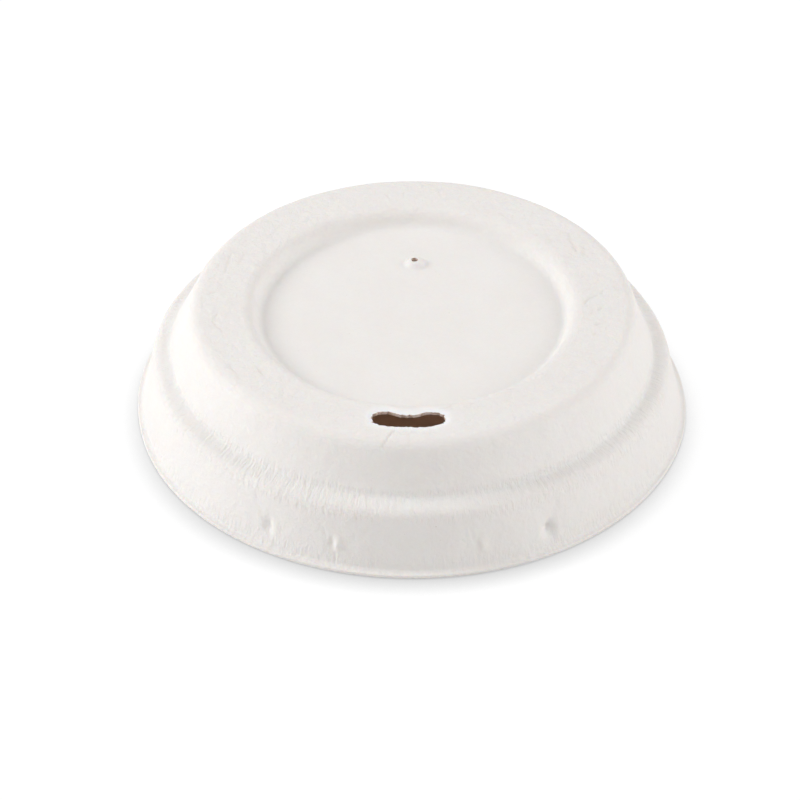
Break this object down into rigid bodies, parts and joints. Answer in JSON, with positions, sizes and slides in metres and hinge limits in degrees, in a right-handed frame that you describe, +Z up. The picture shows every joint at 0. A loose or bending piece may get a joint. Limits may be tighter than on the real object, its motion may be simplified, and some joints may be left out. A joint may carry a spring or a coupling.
{
  "type": "coffee cup lid",
  "caption": "Round moulded-fibre lid for a takeaway cup, with a sunk panel, a raised ring with a drinking slot, and a stepped flared skirt.",
  "frame": {"origin": "centre of the lid's axis at the rest plane under the flange", "axes": "+Z up along the lid's axis, the drinking slot towards -Y"},
  "size_m": [0.093, 0.093, 0.0209],
  "materials": {
    "pulp": "matte"
  },
  "bodies": {
    "root": {"lid_shell": "pulp"}
  },
  "joints": []
}
